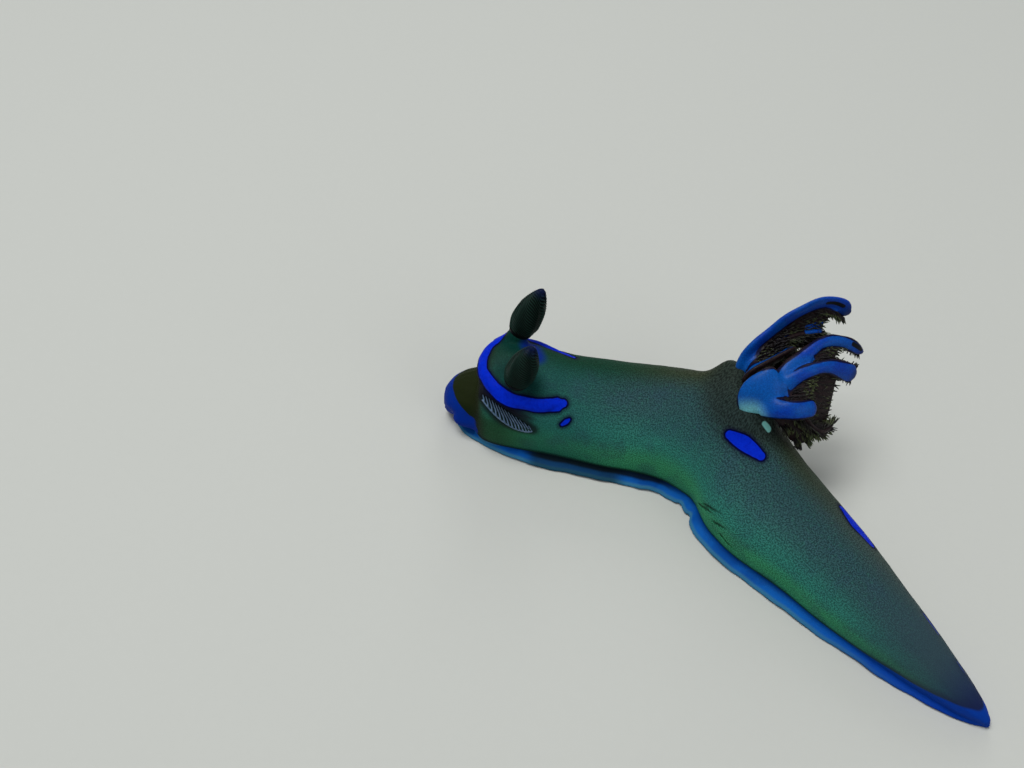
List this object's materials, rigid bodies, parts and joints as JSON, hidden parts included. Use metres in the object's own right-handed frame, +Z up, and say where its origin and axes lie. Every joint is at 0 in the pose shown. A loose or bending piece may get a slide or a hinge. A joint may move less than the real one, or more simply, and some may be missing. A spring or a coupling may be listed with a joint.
{
  "type": "blue-spotted wrinkle dorid sea slug",
  "caption": "Still, life-size model of a crawling dorid sea slug: wrinkled body bent behind the gills, hooded head, ringed horn-like feelers, feathery gill plume and a thin frilled foot",
  "frame": {"origin": "centre of the bounding box, at the floor under the sole", "axes": "+X from the head towards the bend and the tail's end, +Y towards the animal's right side at the head, +Z up"},
  "size_m": [0.0594, 0.0492, 0.022],
  "materials": {
    "mantle_skin": "wet skin, dark green with blue bands and spots",
    "foot_margin": "wet skin, azure edge",
    "rhinophore_flesh": "wet skin, blackish green with dark blue tips",
    "gill_flesh": "wet skin, royal blue outside and dark purple-brown inside"
  },
  "bodies": {
    "root": {"snout": "mantle_skin", "head": "mantle_skin", "trunk_front": "mantle_skin", "trunk_middle": "mantle_skin", "tail_base": "mantle_skin", "tail_middle": "mantle_skin", "tail_tip": "mantle_skin", "foot_front": "foot_margin", "foot_middle": "foot_margin", "foot_rear": "foot_margin", "foot_tip": "foot_margin", "rhinophore_left": "rhinophore_flesh", "rhinophore_right": "rhinophore_flesh", "oral_tentacle_left": "mantle_skin", "oral_tentacle_right": "mantle_skin", "gill_leaf_left_front": "gill_flesh", "gill_leaf_right_front": "gill_flesh", "gill_leaf_right_rear": "gill_flesh", "gill_leaf_rear": "gill_flesh", "anal_papilla": "mantle_skin"}
  },
  "joints": []
}
